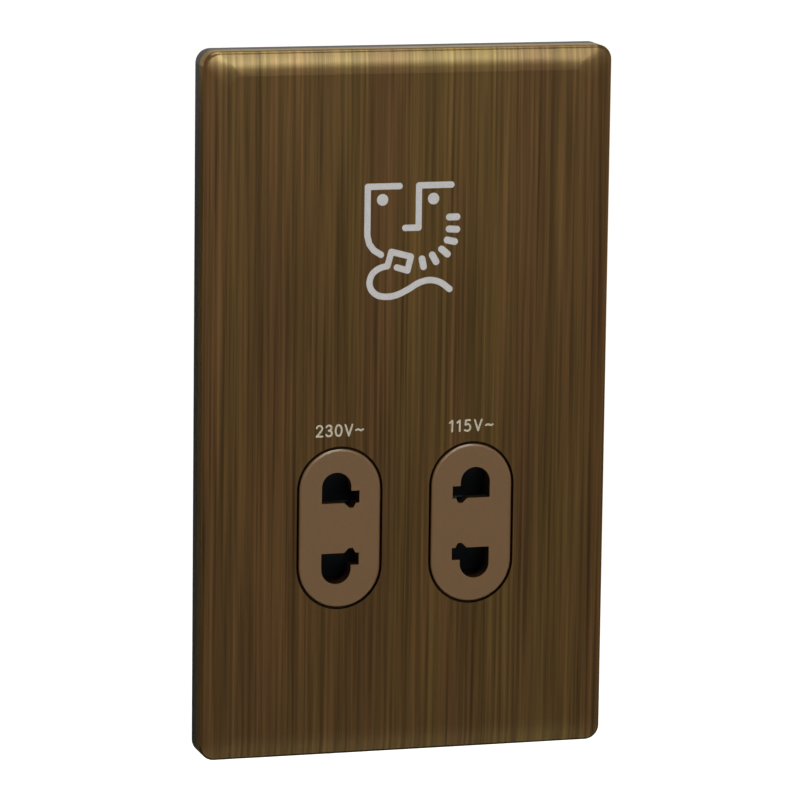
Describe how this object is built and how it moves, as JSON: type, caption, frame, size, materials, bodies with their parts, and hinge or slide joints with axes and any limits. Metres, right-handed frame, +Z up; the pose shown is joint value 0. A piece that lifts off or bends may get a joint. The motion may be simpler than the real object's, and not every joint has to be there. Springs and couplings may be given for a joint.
{
  "type": "dual voltage shaver socket",
  "caption": "Wall-mounted shaver socket with two oval outlets, shuttered pin entries, a brushed bronze clip-on plate and an isolating transformer.",
  "frame": {"origin": "middle of the plate on the wall plane, midway between the two fixing holes", "axes": "+X to the right as the user sees it, +Y into the wall, +Z up"},
  "size_m": [0.086, 0.0463, 0.146],
  "materials": {
    "bronze_plate": "brushed antique bronze on sheet steel",
    "black_frame": "matte black moulding",
    "brown_moulding": "satin brown moulding",
    "black_shutter": "matte black moulding",
    "spring_steel": "bright spring wire",
    "switch_body": "black switch body",
    "red_plunger": "red plunger",
    "carrier_moulding": "off-white moulding",
    "contact_metal": "phosphor bronze strip",
    "housing_moulding": "matte black moulding",
    "plated_screw": "zinc plated steel",
    "core_steel": "varnished laminations",
    "bobbin_nylon": "natural nylon",
    "winding_tape": "taped copper coil",
    "tinned_pin": "tinned brass",
    "clamp_steel": "zinc plated sheet",
    "cutout_case": "drawn metal case",
    "block_moulding": "white moulding",
    "terminal_brass": "machined brass",
    "brown_insulation": "brown lead insulation",
    "blue_insulation": "blue lead insulation",
    "red_insulation": "red lead insulation",
    "white_insulation": "white lead insulation",
    "black_insulation": "black lead insulation"
  },
  "bodies": {
    "socket": {"cover_plate": "bronze_plate", "support_frame": "black_frame", "socket_front": "brown_moulding", "shutter_spring_230v": "spring_steel", "shutter_spring_115v": "spring_steel", "primary_switch": "switch_body", "contact_carrier": "carrier_moulding", "contact_230v": "contact_metal", "contact_115v": "contact_metal", "common_contact": "contact_metal", "carrier_screws": "plated_screw", "housing": "housing_moulding", "housing_screws": "plated_screw", "transformer_core": "core_steel", "bobbin": "bobbin_nylon", "bobbin_pins": "tinned_pin", "primary_winding": "winding_tape", "secondary_winding": "winding_tape", "core_clamp": "clamp_steel", "clamp_screws": "plated_screw", "thermal_cutout": "cutout_case", "terminal_block": "block_moulding", "neutral_terminal": "terminal_brass", "earth_terminal": "terminal_brass", "live_terminal": "terminal_brass", "terminal_screws": "plated_screw", "block_screws": "plated_screw", "earth_strap": "contact_metal", "live_lead": "brown_insulation", "switched_lead": "brown_insulation", "cutout_lead": "brown_insulation", "neutral_lead": "blue_insulation", "lead_230v": "red_insulation", "lead_115v": "white_insulation", "common_lead": "black_insulation"},
    "shutter_230v": {"shutter_230v": "black_shutter"},
    "shutter_115v": {"shutter_115v": "black_shutter"},
    "switch_plunger_230v": {"switch_plunger_230v": "red_plunger"},
    "switch_plunger_115v": {"switch_plunger_115v": "red_plunger"}
  },
  "joints": [
    {"name": "shutter_230v_slide", "type": "slide", "parent": "socket", "child": "shutter_230v", "axis": [0, 0, 1], "range_m": [0, 0.0079], "stiffness_N_per_m": 60, "springref_m": -0.004, "deforming": ["shutter_spring_230v"]},
    {"name": "shutter_115v_slide", "type": "slide", "parent": "socket", "child": "shutter_115v", "axis": [0, 0, 1], "range_m": [0, 0.0079], "stiffness_N_per_m": 60, "springref_m": -0.004, "deforming": ["shutter_spring_115v"]},
    {"name": "switch_plunger_230v_press", "type": "slide", "parent": "socket", "child": "switch_plunger_230v", "axis": [1, 0, 0], "range_m": [0, 0.00095]},
    {"name": "switch_plunger_115v_press", "type": "slide", "parent": "socket", "child": "switch_plunger_115v", "axis": [-1, 0, 0], "range_m": [0, 0.00095]}
  ],
  "couplings": [
    {"joint": "switch_plunger_230v_press", "follows": "shutter_230v_slide", "ratio": 0.12},
    {"joint": "switch_plunger_115v_press", "follows": "shutter_115v_slide", "ratio": 0.12}
  ]
}
